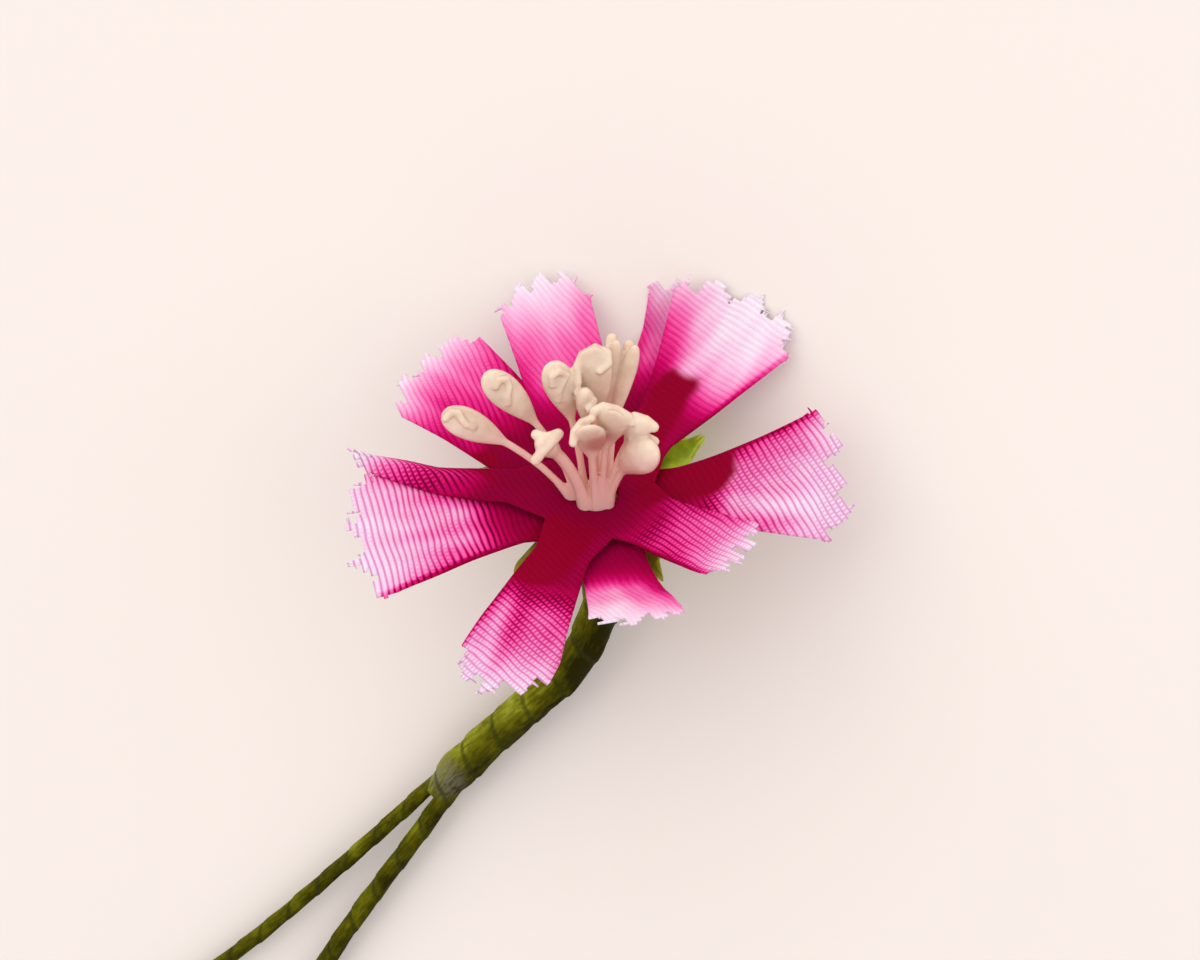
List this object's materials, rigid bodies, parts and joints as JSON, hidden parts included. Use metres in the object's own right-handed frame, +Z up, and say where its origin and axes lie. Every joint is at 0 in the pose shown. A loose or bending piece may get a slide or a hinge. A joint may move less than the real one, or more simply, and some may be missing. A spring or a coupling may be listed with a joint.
{
  "type": "artificial sweet william flower",
  "caption": "Artificial sweet william bloom: two toothed pink cloth petal layers, cream stamens, green calyx and a tape-wrapped stem that forks into wire legs, lying down.",
  "frame": {"origin": "on the surface the flower lies on, below the middle of the whole flower's bounding box", "axes": "+Z up from the surface; +X along the stem towards the flower head; +Y to the left of the stem seen from above, looking towards the head"},
  "size_m": [0.102, 0.036, 0.0255],
  "materials": {
    "cloth_upper": "matte",
    "cloth_lower": "matte",
    "stamen_cream": "satin",
    "calyx_green": "satin",
    "stem_tape": "matte",
    "core_steel": "satin"
  },
  "bodies": {
    "root": {"petals_upper": "cloth_upper", "petals_lower": "cloth_lower", "stamens": "stamen_cream", "calyx": "calyx_green", "stem_wrap": "stem_tape", "leg_wrap_slim": "stem_tape", "leg_wrap_stout": "stem_tape", "wire_slim": "core_steel", "wire_stout": "core_steel"}
  },
  "joints": []
}
